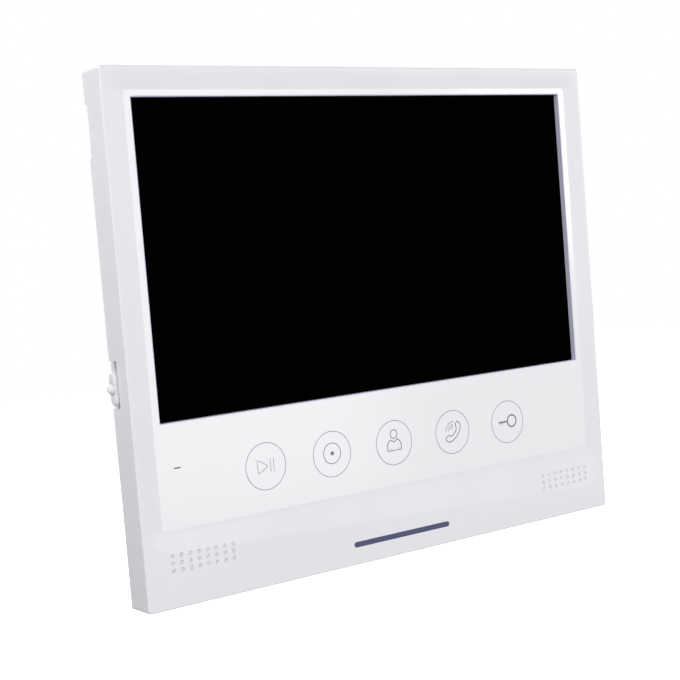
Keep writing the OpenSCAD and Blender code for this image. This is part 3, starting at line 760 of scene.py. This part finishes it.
# Each symbol is a list of (points in units of the ring's radius, closed, line width in mm)

def play_pause():
    triangle = rounded([(-0.42, 0.32), (0.12, 0.0), (-0.40, -0.30)], 0.09)
    bars = [([(x, 0.31), (x, -0.27)], False, 0.15) for x in (0.23, 0.39)]
    return [(triangle, True, 0.16)] + bars


def record_symbol():
    return [(circle(0, 0.03, 0.445, 72), True, 0.24), (circle(0.01, 0.03, 0.045, 24), True, 0.62)]


def person():
    body = smooth_path([(-0.16, 0.14), (-0.30, 0.06), (-0.38, -0.10), (-0.375, -0.34)])
    right = [(-x, z) for x, z in reversed(body)]
    shoulders = [(0.0, 0.02)] + body + right
    ticks = [([(x, -0.33), (x, -0.25)], False, 0.16) for x in (-0.19, 0.24)]
    return [(circle(0, 0.385, 0.19, 48), True, 0.28), (shoulders, True, 0.3)] + ticks


def handset():
    back = [(0.245, 0.41), (0.365, 0.43), (0.485, 0.245), (0.41, -0.02), (0.23, -0.24), (-0.035, -0.405)]
    mouthpiece = [(-0.265, -0.435), (-0.405, -0.30), (-0.34, -0.185), (-0.18, -0.145)]
    inside = [(-0.055, -0.18), (0.125, -0.055), (0.23, 0.10), (0.205, 0.29)]
    grip = smooth_path(back + mouthpiece + inside, True)
    waves = [(arc(0.1, 0.0, r, start, end, 12), False, 0.2)
             for r, start, end in ((0.235, 100, 152), (0.35, 95, 168), (0.48, 92, 176))]
    return [(grip, True, 0.29)] + waves


def key_symbol():
    bow = (circle(0.27, 0.02, 0.275, 48), True, 0.46)
    shank = ([(-0.01, 0.02), (-0.54, 0.02)], False, 0.52)
    teeth = [([(x, 0.0), (x, -0.10)], False, 0.25) for x in (-0.46, -0.33)]
    return [bow, shank] + teeth


def make_prints():
    """Five rings with their symbols, and the status dash."""
    ring_r = (keys_hi.z - keys_lo.z) / 2
    middle_z = (keys_hi.z + keys_lo.z) / 2
    ring = circle(0, 0, 1 - RING_LINE / 2 / ring_r, 128)
    meshes = []
    for i, symbol in enumerate((play_pause, record_symbol, person, handset, key_symbol)):
        centre = ((i - 2) * KEY_PITCH, middle_z)
        meshes.append(stroke(ring, RING_LINE, centre, ring_r, True))
        for points, closed, width in symbol():
            meshes.append(stroke(points, width * MM, centre, ring_r, closed))
    meshes.append(stroke([(-1.0, 0), (1.0, 0)], DASH_LINE, (DASH_X, DASH_Z), DASH_HALF))
    obj = new_object("printed_keys", joined("printed_keys", meshes))
    shade(obj.data, 50.0)
    finish_piece(obj, "ink_grey", MONITOR, "key_legends")


# ---------- Side control ----------

PLATE_OUT = 0.9 * MM
PLATE_T = 1.9 * MM
PLATE_ROUND = 0.8 * MM
BUTTON_R = 1.5 * MM
WAIST_GAP = 0.35 * MM
WAIST_DEPTH = 0.45 * MM
# The hub: its pivot, radius, pin hole and half its width
PIVOT_X = -83.5 * MM
HUB_R, PIN_R = 0.7 * MM, 0.45 * MM
HUB_HALF = 0.85 * MM


def plate_loops(middle_y, middle_z, face_x):
    """Loops of the lever's plate, from its back to its face, with half-round ends and a round front edge."""
    half_length = (rocker_hi.z - rocker_lo.z) / 2
    half_width = (rocker_hi.y - rocker_lo.y) / 2
    profile = [(0.0, face_x + PLATE_T)]
    for i in range(8):
        a = math.radians(90.0 * i / 7)
        profile.append((PLATE_ROUND * (1 - math.cos(a)), face_x + PLATE_ROUND * (1 - math.sin(a))))
    loops = []
    for inset, x in profile:
        r = half_width - inset
        ring = []
        for side, start in ((1, 0.0), (-1, 180.0)):
            end_z = middle_z + side * (half_length - half_width)
            for k in range(17):
                a = math.radians(start + 180.0 * k / 16)
                ring.append(Vector((x, middle_y + r * math.cos(a), end_z + r * math.sin(a))))
        loops.append(ring)
    return loops


def make_rocker():
    """The lever: two soft lobes above and below a round button, on its CAD hub."""
    middle_y = (rocker_lo.y + rocker_hi.y) / 2
    middle_z = (rocker_lo.z + rocker_hi.z) / 2
    face_x = bezel_lo.x - PLATE_OUT
    plate = skin("jog_lever_cap", plate_loops(middle_y, middle_z, face_x), closed=False, caps=True)
    obj = new_object("jog_lever_cap", plate)
    # A waist that sets the button off from the two lobes
    waist_r = BUTTON_R + WAIST_GAP
    waist = turned("waist", (face_x - 0.1 * MM, middle_y, middle_z), (1, 0, 0),
                   [(-MM, waist_r), (WAIST_DEPTH, waist_r)], 48)
    boolean(obj, waist, "DIFFERENCE")
    # The button, a dome on a short stem
    button_x = face_x + 0.2 * MM
    reach = button_x - rocker_lo.x
    dome = [(-1.2 * MM, BUTTON_R)]
    for i in range(12):
        a = math.radians(90.0 * i / 12)
        dome.append((reach * math.sin(a), BUTTON_R * math.cos(a)))
    boolean(obj, turned("button", (button_x, middle_y, middle_z), (-1, 0, 0), dome, 48), "UNION")
    # Web and hub, with the hole for the pin
    web = box_mesh(((face_x + PLATE_T - 0.1 * MM, middle_y - HUB_HALF, middle_z - 0.6 * MM),
                    (PIVOT_X, middle_y + HUB_HALF, middle_z + 0.6 * MM)))
    boolean(obj, web, "UNION")
    for name, radius, half, steps, operation in (("hub", HUB_R, HUB_HALF, 32, "UNION"),
                                                 ("pin", PIN_R, 3 * MM, 24, "DIFFERENCE")):
        ends = [(0, radius), (2 * half, radius)]
        rod = turned(name, (PIVOT_X, middle_y - half, middle_z), (0, 1, 0), ends, steps)
        boolean(obj, rod, operation)
    shade(obj.data, 35.0)
    finish_piece(obj, "shell_white", LEVER, "jog_rocker")


# ---------- Scene ----------

# Camera: place beside and in front of the rim; yaw, pitch and roll in degrees; focal length and shift
CAMERA_PLACE = (-0.2550, RIM_Y - 0.3339, 0.0207)
CAMERA_TURN = (-35.41, -4.25, -4.63)
FOCAL_LENGTH = 75.5
FRAME_SHIFT = 0.019


def make_camera():
    camera = bpy.data.cameras.new("camera")
    camera.sensor_width = 36.0
    camera.lens = FOCAL_LENGTH
    camera.shift_y = FRAME_SHIFT
    camera.clip_start = 0.01
    obj = collection_link(bpy.data.objects.new("camera", camera))
    yaw, pitch, roll = (math.radians(a) for a in CAMERA_TURN)
    turn = Matrix.Rotation(yaw, 3, "Z") @ Matrix.Rotation(pitch, 3, "X")
    right, ahead, up = turn @ Vector((1, 0, 0)), turn @ Vector((0, 1, 0)), turn @ Vector((0, 0, 1))
    rolled_right = right * math.cos(roll) + up * math.sin(roll)
    rolled_up = up * math.cos(roll) - right * math.sin(roll)
    pose = Matrix((rolled_right, rolled_up, -ahead)).transposed().to_4x4()
    pose.translation = Vector(CAMERA_PLACE)
    obj.matrix_world = pose
    bpy.context.scene.camera = obj


SKY_LIGHT = 0.22
FLOOR_Z = -0.30
FLOOR_HALF = 3.0
# Soft lights: name, place, target, width, height, power
LIGHTS = [
    ("front_light", (-0.2, -1.6, 0.15), (0, 0, 0), 1.0, 1.0, 11.5),
    ("right_light", (1.3, -1.0, 0.3), (0, 0, 0), 0.6, 0.6, 8.4),
    ("gloss_card", (0.65, -1.45, 0.02), (-0.03, 0, 0.02), 0.7, 0.7, 2.6),
    ("left_far", (-0.9, -0.3, 0.3), (0, 0, 0.02), 0.4, 0.4, 3.0),
    ("side_strip", (-0.27, 0.03, 0.12), (-0.086, 0, 0.05), 0.08, 0.24, 0.205),
    ("rear_light", (0.3, 1.4, 0.6), (0, 0, 0), 1.0, 1.0, 19.0),
]


def area_light(name, place, target, width, height, power):
    """A soft light that faces its target, unseen by the camera."""
    light = bpy.data.lights.new(name, "AREA")
    light.shape = "RECTANGLE"
    light.size = width
    light.size_y = height
    light.energy = power
    obj = collection_link(bpy.data.objects.new(name, light))
    obj.location = place
    obj.rotation_euler = (Vector(target) - Vector(place)).to_track_quat("-Z", "Y").to_euler()
    obj.visible_camera = False


def make_sky():
    """A dim even sky for the light, behind a plain white backdrop that is only looked at."""
    world = bpy.data.worlds.new("studio")
    bpy.context.scene.world = world
    world.use_nodes = True
    tree = world.node_tree
    sky = tree.nodes["Background"]
    sky.inputs["Color"].default_value = (1.0, 1.0, 1.0, 1.0)
    sky.inputs["Strength"].default_value = SKY_LIGHT
    seen = tree.nodes.new("ShaderNodeBackground")
    seen.inputs["Strength"].default_value = 1.0
    seen.inputs["Color"].default_value = (1.0, 1.0, 1.0, 1.0)
    path = tree.nodes.new("ShaderNodeLightPath")
    choose = tree.nodes.new("ShaderNodeMixShader")
    tree.links.new(path.outputs["Is Camera Ray"], choose.inputs["Fac"])
    tree.links.new(sky.outputs["Background"], choose.inputs[1])
    tree.links.new(seen.outputs["Background"], choose.inputs[2])
    tree.links.new(choose.outputs["Shader"], tree.nodes["World Output"].inputs["Surface"])


def make_floor():
    """A pale floor that is only looked at: its light stays off the monitor."""
    corners = [(x * FLOOR_HALF, y * FLOOR_HALF, FLOOR_Z) for x, y in ((-1, -1), (1, -1), (1, 1), (-1, 1))]
    floor = new_object("floor", mesh_from("floor", corners, [(0, 1, 2, 3)]))
    mat = material("floor_pale", (0.9, 0.9, 0.9), 0.8)
    shader = mat.node_tree.nodes["Principled BSDF"]
    shader.inputs["Emission Color"].default_value = (1, 1, 1, 1)
    shader.inputs["Emission Strength"].default_value = 1.0
    floor.data.materials.append(mat)
    floor.visible_diffuse = False
    floor.visible_glossy = False


def make_stage():
    make_sky()
    make_floor()
    for light in LIGHTS:
        area_light(*light)
    bpy.context.scene.view_settings.view_transform = "Standard"


make_camera()
dress_cad_nodes()
make_front_shell()
make_front_panel()
make_grille_cloths()
make_prints()
make_rocker()
make_stage()
for name, width in SOFT_EDGES.items():
    softened_node(name, width)
